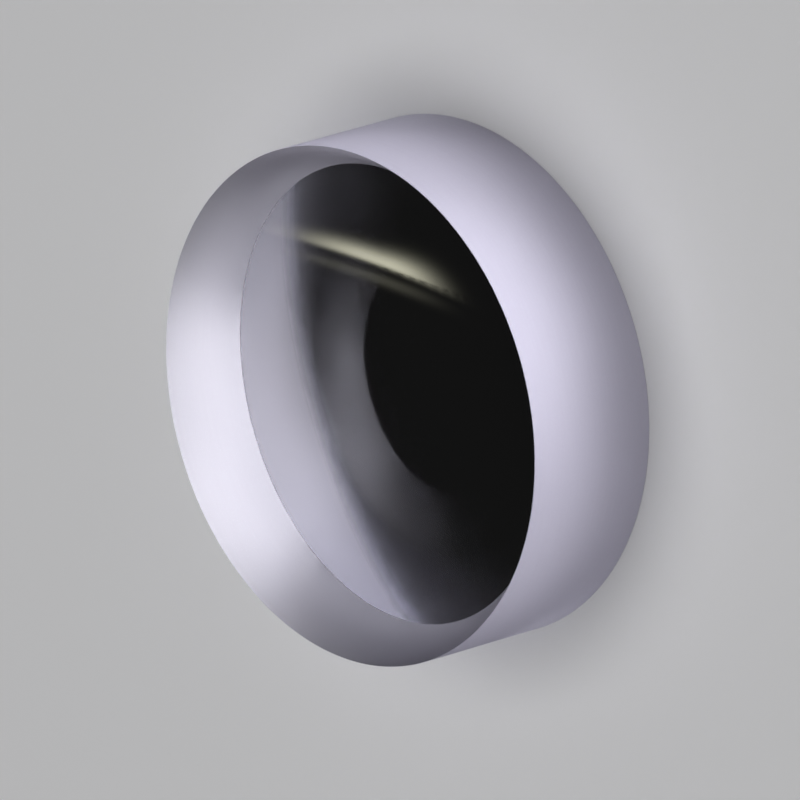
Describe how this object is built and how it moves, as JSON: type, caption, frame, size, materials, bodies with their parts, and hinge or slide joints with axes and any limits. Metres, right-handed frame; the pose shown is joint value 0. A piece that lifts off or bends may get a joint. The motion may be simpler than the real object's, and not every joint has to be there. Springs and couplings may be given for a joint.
{
  "type": "biconcave lens",
  "caption": "Thick disc of clear optical glass, hollowed on both sides, deeper on the upper face, with a fine-ground cylindrical edge and fine rim bevels.",
  "frame": {"origin": "on the optical axis, in the plane that the lower rim rests on", "axes": "+Z along the optical axis, towards the deeper concave face; the lens is round, so X and Y are free"},
  "size_m": [0.0254, 0.0254, 0.0076],
  "materials": {
    "optical_glass": "polished"
  },
  "bodies": {
    "root": {"lens": "optical_glass"}
  },
  "joints": []
}
